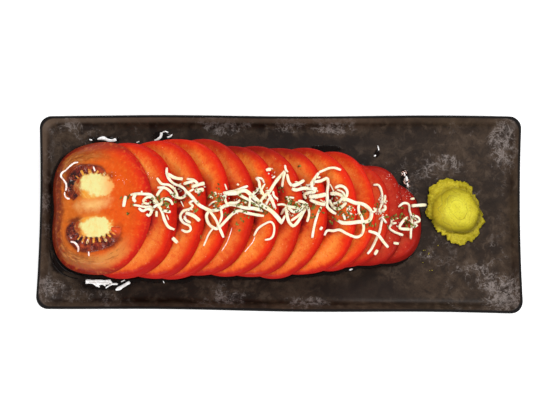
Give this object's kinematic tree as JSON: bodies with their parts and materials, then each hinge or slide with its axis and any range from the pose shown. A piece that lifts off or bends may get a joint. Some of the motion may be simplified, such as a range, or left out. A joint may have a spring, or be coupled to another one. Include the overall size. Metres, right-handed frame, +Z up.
{
  "type": "plate of honey tomatoes",
  "caption": "Long dark stoneware plate with a raised rim, covered by a fan of overlapping tomato slices with shredded cheese, dried herbs and a dollop of mustard at one end.",
  "frame": {"origin": "on the ground under the middle of the plate's outline", "axes": "+X along the plate towards the mustard, +Y across the plate away from the eater, +Z up"},
  "size_m": [0.266, 0.109, 0.0428],
  "materials": {
    "glaze": "semi-gloss mottled glaze",
    "tomato_flesh": "wet",
    "seed_jelly": "wet",
    "mustard": "satin",
    "cheese": "satin",
    "herbs": "dry",
    "dressing": "wet"
  },
  "bodies": {
    "root": {"plate": "glaze", "tomato_slice_01": "tomato_flesh", "tomato_slice_02": "tomato_flesh", "tomato_slice_03": "tomato_flesh", "tomato_slice_04": "tomato_flesh", "tomato_slice_05": "tomato_flesh", "tomato_slice_06": "tomato_flesh", "tomato_slice_07": "tomato_flesh", "tomato_slice_08": "tomato_flesh", "tomato_slice_09": "tomato_flesh", "tomato_slice_10": "tomato_flesh", "tomato_slice_11": "tomato_flesh", "tomato_slice_12": "tomato_flesh", "tomato_slice_13": "tomato_flesh", "seed_jelly_far": "seed_jelly", "seed_jelly_near": "seed_jelly", "mustard": "mustard", "cheese_shreds": "cheese", "cheese_shred_01": "cheese", "cheese_shred_02": "cheese", "cheese_shred_03": "cheese", "cheese_shred_04": "cheese", "cheese_shred_05": "cheese", "cheese_shred_06": "cheese", "cheese_shred_07": "cheese", "cheese_shred_08": "cheese", "cheese_shred_09": "cheese", "cheese_shred_10": "cheese", "cheese_shred_11": "cheese", "cheese_shred_12": "cheese", "cheese_shred_13": "cheese", "cheese_shred_14": "cheese", "cheese_shred_15": "cheese", "cheese_shred_16": "cheese", "cheese_shred_17": "cheese", "cheese_shred_18": "cheese", "cheese_shred_19": "cheese", "cheese_shred_20": "cheese", "cheese_shred_21": "cheese", "cheese_shred_22": "cheese", "cheese_shred_23": "cheese"}
  },
  "joints": []
}
